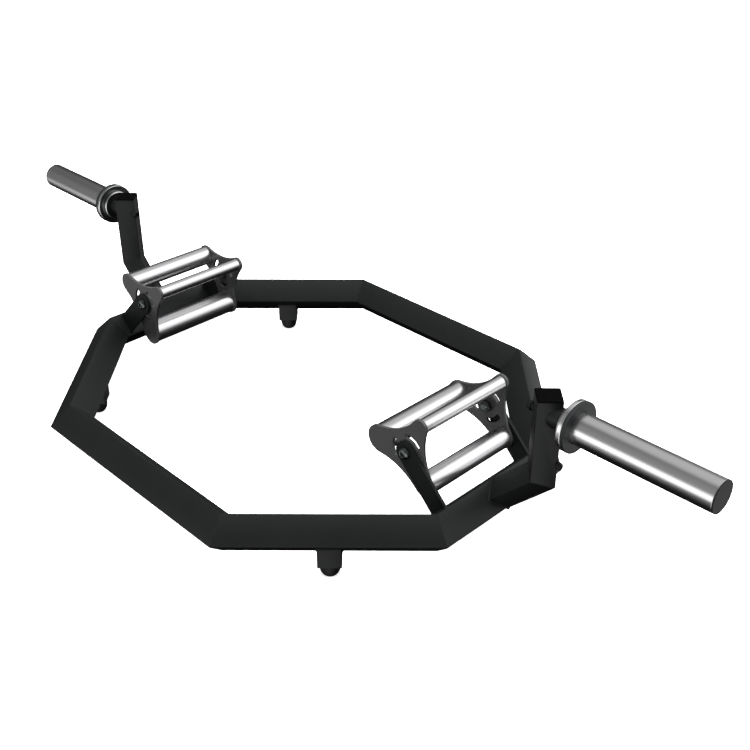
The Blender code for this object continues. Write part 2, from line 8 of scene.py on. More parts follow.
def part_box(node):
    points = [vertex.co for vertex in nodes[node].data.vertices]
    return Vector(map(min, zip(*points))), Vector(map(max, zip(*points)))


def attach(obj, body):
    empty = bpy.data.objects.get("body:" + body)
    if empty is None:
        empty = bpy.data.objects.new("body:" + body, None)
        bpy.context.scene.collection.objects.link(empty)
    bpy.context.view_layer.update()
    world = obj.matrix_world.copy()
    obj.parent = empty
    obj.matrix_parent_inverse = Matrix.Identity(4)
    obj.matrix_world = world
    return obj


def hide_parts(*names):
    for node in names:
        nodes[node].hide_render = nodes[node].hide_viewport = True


# Trap bar: black powder-coated frame, chromed grips and sleeves, grey drum plates
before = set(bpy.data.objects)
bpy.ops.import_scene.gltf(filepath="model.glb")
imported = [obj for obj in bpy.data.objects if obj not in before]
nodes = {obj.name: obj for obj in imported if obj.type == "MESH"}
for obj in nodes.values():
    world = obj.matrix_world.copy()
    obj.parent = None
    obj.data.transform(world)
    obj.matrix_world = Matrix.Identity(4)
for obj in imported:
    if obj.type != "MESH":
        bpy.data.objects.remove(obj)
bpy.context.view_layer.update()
bpy.context.view_layer.update()
sides = {"right": 1, "left": -1}
ends = {"front": -1, "back": 1}
yAxis = Vector((0, 1, 0))
zAxis = Vector((0, 0, 1))
print("frame loaded:", len(nodes), "nodes")


# Shader groups, shared by the materials

def newGroup(name, inputs, outputs):
    group = bpy.data.node_groups.new(name, "ShaderNodeTree")
    for label, kind, value in inputs:
        socket = group.interface.new_socket(name=label, in_out="INPUT", socket_type="NodeSocket" + kind)
        socket.default_value = value
    for label, kind in outputs:
        group.interface.new_socket(name=label, in_out="OUTPUT", socket_type="NodeSocket" + kind)
    start = group.nodes.new("NodeGroupInput")
    end = group.nodes.new("NodeGroupOutput")
    return group, start, end


def addNode(tree, kind, **settings):
    node = tree.nodes.new(kind)
    for key, value in settings.items():
        setattr(node, key, value)
    return node


def addMath(tree, operation, first, second=None, third=None):
    # A number is set on its socket, and another node's output is linked to it
    node = addNode(tree, "ShaderNodeMath", operation=operation)
    for socket, value in zip(node.inputs, (first, second, third)):
        if value is None:
            continue
        if isinstance(value, (int, float)):
            socket.default_value = value
        else:
            tree.links.new(value, socket)
    return node.outputs[0]


def addNoise(tree, vector, scale, detail=2.0, roughness=0.5):
    noise = addNode(tree, "ShaderNodeTexNoise")
    noise.inputs["Detail"].default_value = detail
    noise.inputs["Roughness"].default_value = roughness
    tree.links.new(vector, noise.inputs["Vector"])
    if isinstance(scale, (int, float)):
        noise.inputs["Scale"].default_value = scale
    else:
        tree.links.new(scale, noise.inputs["Scale"])
    return noise.outputs["Fac"]


def addBump(tree, height, distance):
    bump = addNode(tree, "ShaderNodeBump")
    bump.inputs["Strength"].default_value = 1.0
    tree.links.new(distance, bump.inputs["Distance"])
    tree.links.new(height, bump.inputs["Height"])
    return bump.outputs["Normal"]


def addRamp(tree, value, start, end, low, high):
    # Eases from the low value at the start to the high one at the end
    ramp = addNode(tree, "ShaderNodeMapRange", interpolation_type="SMOOTHSTEP")
    for label, number in (("From Min", start), ("From Max", end), ("To Min", low), ("To Max", high)):
        ramp.inputs[label].default_value = number
    tree.links.new(value, ramp.inputs["Value"])
    return ramp.outputs["Result"]


# Noise inside the groups, with scales counted in a metre
noiseLook = {
    "grainDetail": 1.5,
    "cloudScale": 14.0,
    "cloudDetail": 3.0,
    "ringDetail": 2.0,
    "smudgeScale": 22.0,
    "smudgeDetail": 3.0,
    "smudgeRoughness": 0.6,
}


def makeCoatGrain():
    # Orange peel of a sprayed or moulded skin, with faint clouds in its tone
    group, start, end = newGroup(
        "coatGrain",
        (
            ("Colour", "Color", (0.03, 0.03, 0.03, 1)),
            ("Grain Scale", "Float", 700.0),
            ("Grain Height", "Float", 0.00002),
            ("Tone Spread", "Float", 0.15),
            ("Roughness", "Float", 0.5),
            ("Roughness Spread", "Float", 0.06),
        ),
        (
            ("Colour", "Color"),
            ("Roughness", "Float"),
            ("Normal", "Vector"),
        ),
    )
    place = addNode(group, "ShaderNodeTexCoord").outputs["Object"]
    grain = addNoise(group, place, start.outputs["Grain Scale"], noiseLook["grainDetail"])
    clouds = addNoise(group, place, noiseLook["cloudScale"], noiseLook["cloudDetail"])
    normal = addBump(group, grain, start.outputs["Grain Height"])
    centred = addMath(group, "SUBTRACT", clouds, 0.5)
    tone = addMath(group, "MULTIPLY_ADD", centred, start.outputs["Tone Spread"], 1.0)
    scaled = addNode(group, "ShaderNodeVectorMath", operation="SCALE")
    group.links.new(start.outputs["Colour"], scaled.inputs[0])
    group.links.new(tone, scaled.inputs["Scale"])
    rough = addMath(group, "MULTIPLY_ADD", centred, start.outputs["Roughness Spread"],
                    start.outputs["Roughness"])
    group.links.new(scaled.outputs[0], end.inputs["Colour"])
    group.links.new(rough, end.inputs["Roughness"])
    group.links.new(normal, end.inputs["Normal"])
    return group


def makeTurnedMarks():
    # Rings that polishing leaves round a bar turned about its own Z, and smudges of handling
    group, start, end = newGroup(
        "turnedMarks",
        (
            ("Ring Scale", "Float", 900.0),
            ("Ring Height", "Float", 0.000001),
            ("Roughness", "Float", 0.2),
            ("Ring Roughness", "Float", 0.05),
            ("Smudge Roughness", "Float", 0.05),
        ),
        (
            ("Roughness", "Float"),
            ("Normal", "Vector"),
        ),
    )
    place = addNode(group, "ShaderNodeTexCoord").outputs["Object"]
    parts = addNode(group, "ShaderNodeSeparateXYZ")
    group.links.new(place, parts.inputs[0])
    across = addMath(group, "POWER", parts.outputs["X"], 2.0)
    up = addMath(group, "POWER", parts.outputs["Y"], 2.0)
    radius = addMath(group, "SQRT", addMath(group, "ADD", across, up))
    line = addNode(group, "ShaderNodeCombineXYZ")
    group.links.new(parts.outputs["Z"], line.inputs["X"])
    group.links.new(radius, line.inputs["Y"])
    rings = addNoise(group, line.outputs[0], start.outputs["Ring Scale"], noiseLook["ringDetail"])
    smudges = addNoise(group, place, noiseLook["smudgeScale"], noiseLook["smudgeDetail"],
                       noiseLook["smudgeRoughness"])
    normal = addBump(group, rings, start.outputs["Ring Height"])
    ringShare = addMath(group, "SUBTRACT", rings, 0.5)
    ringRough = addMath(group, "MULTIPLY_ADD", ringShare, start.outputs["Ring Roughness"],
                        start.outputs["Roughness"])
    smudgeShare = addMath(group, "SUBTRACT", smudges, 0.5)
    rough = addMath(group, "MULTIPLY_ADD", smudgeShare, start.outputs["Smudge Roughness"], ringRough)
    group.links.new(rough, end.inputs["Roughness"])
    group.links.new(normal, end.inputs["Normal"])
    return group


coatGrain = makeCoatGrain()
turnedMarks = makeTurnedMarks()


def setInputs(node, values):
    for label, value in values.items():
        node.inputs[label.replace("_", " ")].default_value = value


def newMaterial(name, colour, metallic, **sockets):
    material = bpy.data.materials.new(name)
    material.use_nodes = True
    shader = material.node_tree.nodes["Principled BSDF"]
    shader.inputs["Base Color"].default_value = (*colour, 1)
    shader.inputs["Metallic"].default_value = metallic
    setInputs(shader, sockets)
    return material, shader


def placeGroup(material, shader, group, outputs, **values):
    # The outputs say which result of the group feeds which socket of the shader
    tree = material.node_tree
    node = tree.nodes.new("ShaderNodeGroup")
    node.node_tree = group
    setInputs(node, values)
    for output, socket in outputs.items():
        tree.links.new(node.outputs[output], shader.inputs[socket])


coatOutputs = {"Colour": "Base Color", "Roughness": "Roughness", "Normal": "Normal"}
turnedOutputs = {"Roughness": "Roughness", "Normal": "Normal"}


def coatedMaterial(name, look):
    material, shader = newMaterial(name, look["colour"], 0.0, Specular_IOR_Level=look["specular"])
    placeGroup(
        material, shader, coatGrain, coatOutputs,
        Colour=(*look["colour"], 1),
        Grain_Scale=look["grainScale"],
        Grain_Height=look["grainHeight"],
        Tone_Spread=look["toneSpread"],
        Roughness=look["roughness"],
    )
    return material


def turnedMaterial(name, look):
    material, shader = newMaterial(name, look["colour"], 1.0)
    placeGroup(
        material, shader, turnedMarks, turnedOutputs,
        Ring_Scale=look["ringScale"],
        Ring_Height=look["ringHeight"],
        Roughness=look["roughness"],
        Ring_Roughness=look["ringRoughness"],
        Smudge_Roughness=look["smudge"],
    )
    return material


# Coats and plastics: colours are linear, grain heights in metres and grain scales in a metre
coatLooks = {
    "framePaint": {"colour": (0.0065, 0.0073, 0.0072), "roughness": 0.48, "specular": 0.30,
                   "grainScale": 900.0, "grainHeight": 0.00003, "toneSpread": 0.25},
    "bracketPaint": {"colour": (0.0075, 0.0085, 0.0083), "roughness": 0.50, "specular": 0.16,
                     "grainScale": 900.0, "grainHeight": 0.00002, "toneSpread": 0.2},
    "capPlastic": {"colour": (0.0010, 0.0010, 0.0010), "roughness": 0.62, "specular": 0.04,
                   "grainScale": 1500.0, "grainHeight": 0.00001, "toneSpread": 0.1},
    "bumperRubber": {"colour": (0.006, 0.006, 0.006), "roughness": 0.6, "specular": 0.35,
                     "grainScale": 1200.0, "grainHeight": 0.00003, "toneSpread": 0.2},
    "softRing": {"colour": (0.012, 0.014, 0.014), "roughness": 0.55, "specular": 0.45,
                 "grainScale": 1200.0, "grainHeight": 0.00001, "toneSpread": 0.1},
    "platePaint": {"colour": (0.042, 0.042, 0.043), "roughness": 0.32, "specular": 0.65,
                   "grainScale": 1100.0, "grainHeight": 0.000012, "toneSpread": 0.12},
    "endDisc": {"colour": (0.013, 0.013, 0.013), "roughness": 0.55, "specular": 0.15,
                "grainScale": 1500.0, "grainHeight": 0.00001, "toneSpread": 0.1},
    "boltBlack": {"colour": (0.006, 0.0065, 0.0065), "roughness": 0.5, "specular": 0.25,
                  "grainScale": 2500.0, "grainHeight": 0.000004, "toneSpread": 0.1},
}
# Turned and plated metal, all with rings round its own Z
turnedLooks = {
    "gripChrome": {"colour": (0.88, 0.88, 0.89), "roughness": 0.31, "ringScale": 1500.0,
                   "ringHeight": 0.0000001, "ringRoughness": 0.02, "smudge": 0.05},
    "sleeveChrome": {"colour": (0.84, 0.84, 0.85), "roughness": 0.28, "ringScale": 1200.0,
                     "ringHeight": 0.0000001, "ringRoughness": 0.015, "smudge": 0.05},
    "hubSteel": {"colour": (0.85, 0.85, 0.86), "roughness": 0.26, "ringScale": 900.0,
                 "ringHeight": 0.000001, "ringRoughness": 0.1, "smudge": 0.05},
    "collarFace": {"colour": (0.17, 0.18, 0.18), "roughness": 0.34, "ringScale": 900.0,
                   "ringHeight": 0.000001, "ringRoughness": 0.1, "smudge": 0.05},
    "boltSteel": {"colour": (0.18, 0.205, 0.20), "roughness": 0.30, "ringScale": 2500.0,
                  "ringHeight": 0.000001, "ringRoughness": 0.06, "smudge": 0.05},
    "nutSteel": {"colour": (0.12, 0.125, 0.125), "roughness": 0.42, "ringScale": 2500.0,
                 "ringHeight": 0.000001, "ringRoughness": 0.06, "smudge": 0.05},
}
materials = {name: coatedMaterial(name, look) for name, look in coatLooks.items()}
materials.update({name: turnedMaterial(name, look) for name, look in turnedLooks.items()})
print("materials ready:", len(materials))


# Finish of the CAD pieces that stay as they are

easedLook = {
    "joinWithin": 0.000002,
    "smoothUnder": 35.0,      # degrees between two facets
    "bevelSegments": 2,
    "bevelOver": 50.0,
}


def makeEasedShading():
    # Joins the facets' corners and shades what turns little as one smooth face
    group = bpy.data.node_groups.new("easedShading", "GeometryNodeTree")
    group.interface.new_socket(name="Geometry", in_out="INPUT", socket_type="NodeSocketGeometry")
    group.interface.new_socket(name="Geometry", in_out="OUTPUT", socket_type="NodeSocketGeometry")
    start = group.nodes.new("NodeGroupInput")
    merge = group.nodes.new("GeometryNodeMergeByDistance")
    merge.inputs["Distance"].default_value = easedLook["joinWithin"]
    clear = group.nodes.new("GeometryNodeRemoveAttribute")
    clear.inputs["Name"].default_value = "custom_normal"
    faces = group.nodes.new("GeometryNodeSetShadeSmooth")
    faces.domain = "FACE"
    faces.inputs["Shade Smooth"].default_value = True
    angle = group.nodes.new("GeometryNodeInputMeshEdgeAngle")
    smooth = addNode(group, "FunctionNodeCompare", operation="LESS_THAN")
    smooth.inputs["B"].default_value = math.radians(easedLook["smoothUnder"])
    edges = group.nodes.new("GeometryNodeSetShadeSmooth")
    edges.domain = "EDGE"
    end = group.nodes.new("NodeGroupOutput")
    chain = (start, merge, clear, faces, edges, end)
    for here, after in zip(chain, chain[1:]):
        group.links.new(here.outputs["Geometry"], after.inputs["Geometry"])
    group.links.new(angle.outputs["Unsigned Angle"], smooth.inputs["A"])
    group.links.new(smooth.outputs["Result"], edges.inputs["Shade Smooth"])
    return group


easedShading = makeEasedShading()

# Which CAD pieces take which material, and how wide their eased edges are, in metres
nodeFinishes = {
    "bar_": ("framePaint", 0.0),
    "arm_": ("framePaint", 0.0),
    "post_right": ("framePaint", 0.0),
    "post_left": ("framePaint", 0.0),
    "post_cap_": ("capPlastic", 0.0004),
    "foot_post_": ("framePaint", 0.0),
    "bracket_": ("bracketPaint", 0.0005),
}


def finishNodes():
    for name, node in nodes.items():
        finish = next((nodeFinishes[key] for key in nodeFinishes if name.startswith(key)), None)
        if finish is None:
            continue
        material, easing = finish
        for slot in node.material_slots:
            slot.material = materials[material]
        eased = node.modifiers.new("easedShading", "NODES")
        eased.node_group = easedShading
        if easing:
            bevel = node.modifiers.new("easedEdge", "BEVEL")
            bevel.width = easing
            bevel.segments = easedLook["bevelSegments"]
            bevel.limit_method = "ANGLE"
            bevel.angle_limit = math.radians(easedLook["bevelOver"])
            bevel.harden_normals = True


finishNodes()
print("CAD pieces finished")


# Turned and bored pieces, bolts and nuts, each built along its own Z

lathe = {
    "steps": 96,
    "fineSteps": 128,         # for the long chromed pieces
    "bendSteps": 4,
    "besideBend": 1.3,        # where the ring beside a bend stands, in bends
    "longFace": 4,            # and how long a face must be to get one, in bends
    "sharpOver": 40.0,
    "facing": 0.9,            # how squarely a side looks along the axis to count as a face
}


def meshFrom(name, shape, *finishes):
    mesh = bpy.data.meshes.new(name)
    shape.to_mesh(mesh)
    shape.free()
    mesh.shade_smooth()
    for finish in finishes:
        mesh.materials.append(materials[finish])
    return mesh


def addObject(name, data):
    holder = bpy.data.objects.new(name, data)
    bpy.context.scene.collection.objects.link(holder)
    return holder


def addPiece(name, mesh, body, place=None, replaces=()):
    piece = addObject(name, mesh)
    if place is not None:
        piece.matrix_world = place
    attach(piece, body)
    if replaces:
        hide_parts(*replaces)


def curvedCorners(profile, closed):
    # Each entry is radius, along, bend, flats, cap: a bend above nothing rounds that corner
    steps = lathe["bendSteps"]
    points = []
    count = len(profile)
    for i, entry in enumerate(profile):
        radius, along, bend, flats, cap = (*entry, *(0.0, 0, None)[len(entry) - 2:])
        here = Vector((radius, along))
        inside = closed or 0 < i < count - 1
        if not bend or not inside:
            points.append((radius, along, flats, cap))
            continue
        before = Vector(profile[i - 1][:2]) - here
        after = Vector(profile[(i + 1) % count][:2]) - here
        first = here + before.normalized() * min(bend, before.length / 2)
        last = here + after.normalized() * min(bend, after.length / 2)
        spots = []
        for step in range(steps + 1):
            share = step / steps
            spots.append(first.lerp(here, share).lerp(here.lerp(last, share), share))
        # A ring beside the bend keeps the shading of a long straight face even
        if before.length > lathe["longFace"] * bend:
            spots.insert(0, here + before.normalized() * bend * lathe["besideBend"])
        if after.length > lathe["longFace"] * bend:
            spots.append(here + after.normalized() * bend * lathe["besideBend"])
        points += [(spot.x, spot.y, flats, cap) for spot in spots]
    return points


def radiusAt(radius, angle, flats, cap):
    # With flats the radius is half their width, and a cap cuts the corners off
    if flats:
        turn = math.pi / flats
        radius = radius / math.cos(angle % (2 * turn) - turn)
    return radius if cap is None else min(radius, cap)


def turnedPiece(name, profile, place, body, finish, bored=False, steps=lathe["steps"], replaces=(),
                face=None):
    # A face finish goes on what looks along the axis
    points = curvedCorners(profile, bored)
    shape = bmesh.new()
    rings = []
    for radius, along, flats, cap in points:
        if radius == 0:
            rings.append([shape.verts.new((0, 0, along))])
            continue
        ring = []
        for k in range(steps):
            angle = 2 * math.pi * k / steps
            reach = radiusAt(radius, angle, flats, cap)
            ring.append(shape.verts.new((reach * math.cos(angle), reach * math.sin(angle), along)))
        rings.append(ring)
    pairs = list(zip(rings, rings[1:]))
    if bored:
        pairs.append((rings[-1], rings[0]))
    for here, after in pairs:
        for k in range(steps):
            m = (k + 1) % steps
            if len(here) == 1:
                shape.faces.new((here[0], after[m], after[k]))
            elif len(after) == 1:
                shape.faces.new((here[k], here[m], after[0]))
            else:
                shape.faces.new((here[k], here[m], after[m], after[k]))
    bmesh.ops.recalc_face_normals(shape, faces=shape.faces)
    for side in shape.faces:
        side.material_index = 1 if face and abs(side.normal.z) > lathe["facing"] else 0
    mesh = meshFrom(name, shape, *((finish, face) if face else (finish,)))
    mesh.set_sharp_from_angle(angle=math.radians(lathe["sharpOver"]))
    addPiece(name, mesh, body, place, replaces)


def pointing(x, y, z, way):
    # A place at x, y, z whose own Z looks along the named way
    turns = {"+x": (90, "Y"), "-x": (-90, "Y"), "+y": (-90, "X"), "-y": (90, "X"), "+z": (0, "X")}
    degrees, axis = turns[way]
    return Matrix.Translation((x, y, z)) @ Matrix.Rotation(math.radians(degrees), 4, axis)


def boxMiddle(name):
    low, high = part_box(name)
    return (low + high) / 2


def reaches(name):
    # Nearest and furthest x of a piece from the middle, and half its height
    low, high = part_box(name)
    near, far = sorted((abs(low.x), abs(high.x)))
    return near, far, (high.z - low.z) / 2


sleeveStack = {
    "hubDisc": 0.0075,        # thickness of the bright disc at the end of the neck
    "neckRadius": 0.017,
    "neckStart": 0.543,       # inside the post's wall
    "hubBend": 0.0024,
    "bore": 0.012,            # through the hub and the collar
    "collarBend": 0.0015,
    "softRingBend": 0.0012,
    "softRingRoom": 0.0002,   # between the ring and the sleeve
    "sleeveBore": 0.0195,
    "sleeveBend": 0.0006,
    "endDiscBehind": 0.0001,
    "endDiscBend": 0.0006,
    "dishRim": 0.90,          # the shallow dish in the disc's face, in shares of its radius
    "dishFloor": 0.88,
    "dishBend": 0.0004,
    "dishDepth": 0.00025,
}


def boredDisc(bore, radius, thick, bend):
    return ((bore, 0), (radius, 0, bend), (radius, thick, bend), (bore, thick))


def boredTube(bore, radius, length):
    return ((bore, 0), (radius, 0), (radius, length), (bore, length))


def buildSleeves():
    look = sleeveStack
    bore = look["bore"]
    for side, sign in sides.items():
        way = "+x" if sign > 0 else "-x"
        middle = boxMiddle(f"sleeve_{side}").z

        def place(near):
            return pointing(sign * near, 0, middle, way)

        _, hubEnd, radius = reaches(f"hub_{side}")
        thick = look["hubDisc"]
        discStart = hubEnd - thick
        turnedPiece(f"hub_disc_{side}", boredDisc(bore, radius, thick, look["hubBend"]), place(discStart),
                    "frame", "hubSteel", bored=True, replaces=(f"hub_{side}",),
                    face="collarFace")
        neck = discStart - look["neckStart"]
        turnedPiece(f"hub_neck_{side}", boredTube(bore, look["neckRadius"], neck), place(look["neckStart"]),
                    "frame", "framePaint", bored=True)
        near, far, radius = reaches(f"collar_{side}")
        collar = boredDisc(bore, radius, far - near, look["collarBend"])
        turnedPiece(f"stop_collar_{side}", collar, place(near), "frame", "hubSteel", bored=True,
                    replaces=(f"collar_{side}",), face="collarFace")
        sleeveNear, sleeveFar, sleeveRadius = reaches(f"sleeve_{side}")
        near, far, radius = reaches(f"soft_ring_{side}")
        ring = boredDisc(sleeveRadius + look["softRingRoom"], radius, far - near, look["softRingBend"])
        turnedPiece(f"stop_ring_{side}", ring, place(near), "frame", "softRing", bored=True,
                    replaces=(f"soft_ring_{side}",))
        length = sleeveFar - sleeveNear
        sleeve = ((look["sleeveBore"], 0), (sleeveRadius, 0), (sleeveRadius, length, look["sleeveBend"]),
                  (look["sleeveBore"], length))
        turnedPiece(f"plate_sleeve_{side}", sleeve, place(sleeveNear), "frame",
                    "sleeveChrome", bored=True, steps=lathe["fineSteps"], replaces=(f"sleeve_{side}",))
        _, end, radius = reaches(f"sleeve_end_cap_{side}")
        thick = end - sleeveFar - look["endDiscBehind"]
        dish = thick - look["dishDepth"]
        disc = ((0, 0), (radius, 0), (radius, thick, look["endDiscBend"]),
                (radius * look["dishRim"], thick, look["dishBend"]),
                (radius * look["dishFloor"], dish, look["dishBend"]), (0, dish))
        turnedPiece(f"end_disc_{side}", disc, place(end - thick), "frame", "endDisc",
                    replaces=(f"sleeve_end_cap_{side}",))


gripSizes = ("fat", "medium", "thin")
gripLook = {"wall": 0.0025, "bend": 0.0006}


def gripShape(side, size):
    # Middle, radius and the y of both ends
    low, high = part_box(f"grip_{side}_{size}")
    return (low + high) / 2, (high.z - low.z) / 2, low.y, high.y


def buildGrips():
    for side in sides:
        for size in gripSizes:
            middle, radius, front, back = gripShape(side, size)
            tube = boredDisc(radius - gripLook["wall"], radius, back - front, gripLook["bend"])
            turnedPiece(f"{size}_grip_{side}", tube, pointing(middle.x, front, middle.z, "+y"),
                        f"drum_{side}", "gripChrome", bored=True, steps=lathe["fineSteps"],
                        replaces=(f"grip_{side}_{size}",))


boltLook = {
    "pivotShank": 0.006,
    "pivotHead": 0.0065,       # height
    "pivotSocket": 0.004,      # half the width across flats
    "pivotSocketDepth": 0.0036,
    "threadPitch": 0.00175,
    "threadDepth": 0.0009,
    "threadCrest": 0.45,       # where the crest stands in a pitch
    "tipBend": 0.0003,
    "tipLength": 0.0006,
    "nutWidth": 0.019,
    "nutHeight": 0.008,
    "nutCone": 0.10,           # height of the cut corners, in nut heights
    "nutFace": 0.97,           # radius of the nut's round face, in half widths
    "nutConeSteps": 4,
    "nutRoom": 0.0002,         # between the shank and the nut's bore
    "nutMouthRoom": 0.0008,    # and at both mouths of the bore
    "nutBoreEase": 0.0004,     # depth of the mouths
    "sleeveHead": 0.0085,
    "sleeveSocket": 0.004,
    "sleeveShank": 0.006,
    "pegHead": 0.0075,
    "pegSocket": 0.002,
    "pegShank": 0.003,
    "shankShown": 0.014,       # reaches from the head into the post's corner
    "socketDepth": 0.5,        # of the post's bolts, in head heights
    "socketMouth": 1.18,       # these two in half widths across flats
    "socketCorner": 1.155,
    "mouthHeight": 0.985,      # these two in head heights
    "flatsHeight": 0.94,
    "drillPoint": 1.15,        # in socket depths
}
# Half section of a button head: radius in head radii, then height and bend in head heights
headSection = (
    (0.985, 0, 0), (1, 0.10, 0.1), (1, 0.26, 0.2), (0.90, 0.62, 0.3), (0.72, 0.92, 0.3), (0.52, 1, 0.05),
)


def buttonHead(radius, height, socket, depth):
    # Domed head with a hexagon socket, from its seat outwards
    look = boltLook
    head = [(radius * out, height * up, height * bend) for out, up, bend in headSection]
    return head + [
        (socket * look["socketMouth"], height), (socket * look["socketCorner"], height * look["mouthHeight"]),
        (socket, height * look["flatsHeight"], 0, 6), (socket, height - depth, 0, 6),
        (0, height - depth * look["drillPoint"]),
    ]


def threadedShank(tip, nutInner, seat):
    # From the tip to the seat of the head, with thread as far as the nut
    look = boltLook
    shank = look["pivotShank"]
    root = shank - look["threadDepth"]
    pitch = look["threadPitch"]
    profile = [(0, tip - seat), (root, tip - seat, look["tipBend"])]
    along = tip + look["tipLength"]
    while along < nutInner + pitch:
        profile += [(root, along - seat), (shank, along + pitch * look["threadCrest"] - seat)]
        along += pitch
    return profile + [(shank, along - seat), (shank, 0)]


def cutNut():
    # Hexagon whose corners are cut by a cone at each face
    look = boltLook
    half = look["nutWidth"] / 2
    height = look["nutHeight"]
    cone = height * look["nutCone"]
    face = half * look["nutFace"]
    corner = half / math.cos(math.radians(30))
    bore = look["pivotShank"] + look["nutRoom"]
    ease = look["nutBoreEase"]
    mouth = look["pivotShank"] + look["nutMouthRoom"]
    steps = look["nutConeSteps"]
    cuts = [(cone * k / steps, face + (corner - face) * k / steps) for k in range(1, steps + 1)]
    nut = [(bore, ease), (mouth, 0), (half, 0, 0, 6, face)]
    nut += [(half, along, 0, 6, cap) for along, cap in cuts]
    nut += [(half, height - along, 0, 6, cap) for along, cap in reversed(cuts)]
    return nut + [(half, height, 0, 6, face), (mouth, height), (bore, height - ease)]


def buildPivots():
    look = boltLook
    for side in sides:
        for end, sign in ends.items():
            low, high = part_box(f"pivot_bolt_{side}_{end}")
            middle = (low + high) / 2
            tip, headTop = sorted((abs(low.y), abs(high.y)))
            seat = headTop - look["pivotHead"]
            nutInner = min(abs(v.y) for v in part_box(f"pivot_nut_{side}_{end}"))
            way = "+y" if sign > 0 else "-y"
            head = buttonHead((high.z - low.z) / 2, look["pivotHead"], look["pivotSocket"],
                              look["pivotSocketDepth"])
            turnedPiece(f"drum_bolt_{side}_{end}", threadedShank(tip, nutInner, seat) + head,
                        pointing(middle.x, sign * seat, middle.z, way), "frame", "boltSteel",
                        replaces=(f"pivot_bolt_{side}_{end}",))
            turnedPiece(f"drum_nut_{side}_{end}", cutNut(),
                        pointing(middle.x, sign * nutInner, middle.z, way), "frame",
                        "nutSteel", bored=True, replaces=(f"pivot_nut_{side}_{end}",))


def buildPostBolts():
    # The sleeve's bolt looks inwards from the post's corner, and the peg's screw outwards
    look = boltLook
    for side, sign in sides.items():
        for name, new, kind, inward in (
            (f"sleeve_bolt_{side}", f"post_bolt_{side}", "sleeve", True),
            (f"post_peg_{side}", f"post_screw_{side}", "peg", False),
        ):
            height = look[kind + "Head"]
            shank = look[kind + "Shank"]
            near, far, radius = reaches(name)
            seat = near + height if inward else far - height
            way = "+x" if (sign > 0) != inward else "-x"
            profile = [(0, -look["shankShown"]), (shank, -look["shankShown"]), (shank, 0)]
            profile += buttonHead(radius, height, look[kind + "Socket"], height * look["socketDepth"])
            turnedPiece(new, profile, pointing(sign * seat, 0, boxMiddle(name).z, way), "frame",
                        "boltBlack", replaces=(name,))


footLook = {
    "height": 0.025,
    "side": 0.007,         # straight side above the dome
    "flat": 0.0075,        # radius of the flat that stands on the floor
    "hollow": 0.0006,      # depth of the hollow inside the flat's rim
    "rimWidth": 0.0012,    # from the flat's edge to the hollow
    "rimTop": 0.0008,      # the part of it that stands on the floor
    "topBend": 0.0006,
    "domeSteps": 10,
}


def buildFeet():
    look = footLook
    flat = look["flat"]
    height = look["height"]
    dome = height - look["side"]
    steps = look["domeSteps"]
    for end in ends:
        for side in sides:
            name = f"foot_bumper_{end}_{side}"
            low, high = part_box(name)
            middle = (low + high) / 2
            radius = (high.x - low.x) / 2
            profile = [(0, look["hollow"]), (flat - look["rimWidth"], look["hollow"]),
                       (flat - look["rimTop"], 0), (flat, 0)]
            for step in range(1, steps):
                angle = math.radians(90 * step / steps)
                profile.append((flat + (radius - flat) * math.sin(angle), dome * (1 - math.cos(angle))))
            profile += [(radius, dome), (radius, height, look["topBend"]), (0, height)]
            turnedPiece(f"rubber_foot_{end}_{side}", profile, pointing(middle.x, middle.y, 0, "+z"), "frame",
                        "bumperRubber", replaces=(name,))


buildSleeves()
buildGrips()
buildPivots()
buildPostBolts()
buildFeet()
print("turned pieces built")


# Drum plates: a lobe round each grip, hollow waists between, three curved slots and the pivot hole

plateLook = {
    "rim": 0.002,           # metal round each grip
    "waistRadius": 0.110,
    "slotSpread": 50.0,     # degrees between the centres of a slot's ends
    "slotWidth": 0.0085,
    "slotReach": 0.027,
    "pivotHole": 0.0064,
    "edge": 0.0005,         # width of the eased edge
    "edgeSteps": 2,
    "lobeSteps": 48,
    "waistSteps": 32,
    "slotSteps": 16,
    "slotEndSteps": 12,
    "holeSteps": 48,
    "joinWithin": 0.000002,
    "sharpOver": 30.0,
    "flatOver": 0.999,      # how squarely a side looks along the pivot to be shaded flat
}


def arcPoints(radius, start, end, steps, centre=(0.0, 0.0)):
    points = []
    for step in range(steps + 1):
        angle = math.radians(start + (end - start) * step / steps)
        points.append((centre[0] + radius * math.cos(angle), centre[1] + radius * math.sin(angle)))
    return points


def heading(start, end):
    # Degrees from +X of the way from one place to another
    return math.degrees(math.atan2(end[1] - start[1], end[0] - start[0]))


def waistCentre(first, firstRadius, second, secondRadius):
    # The circle that touches both lobes from outside
    waist = plateLook["waistRadius"]
    way = second - first
    span = way.length
    run = (span * span + (firstRadius + waist) ** 2 - (secondRadius + waist) ** 2) / (2 * span)
    rise = math.sqrt((firstRadius + waist) ** 2 - run * run)
    return first + way / span * run + Vector((way.y, -way.x)) / span * rise


def plateOutline(lobes):
    look = plateLook
    count = len(lobes)
    waists = [waistCentre(*lobes[i], *lobes[(i + 1) % count]) for i in range(count)]
    outline = []
    for i, (centre, radius) in enumerate(lobes):
        start = heading(centre, waists[i - 1])
        end = heading(centre, waists[i])
        outline += arcPoints(radius, start, start + (end - start) % 360, look["lobeSteps"], centre)
        after = lobes[(i + 1) % count][0]
        start = heading(waists[i], centre)
        end = heading(waists[i], after)
        end = start - (start - end) % 360
        outline += arcPoints(look["waistRadius"], start, end, look["waistSteps"], waists[i])[1:-1]
    return outline


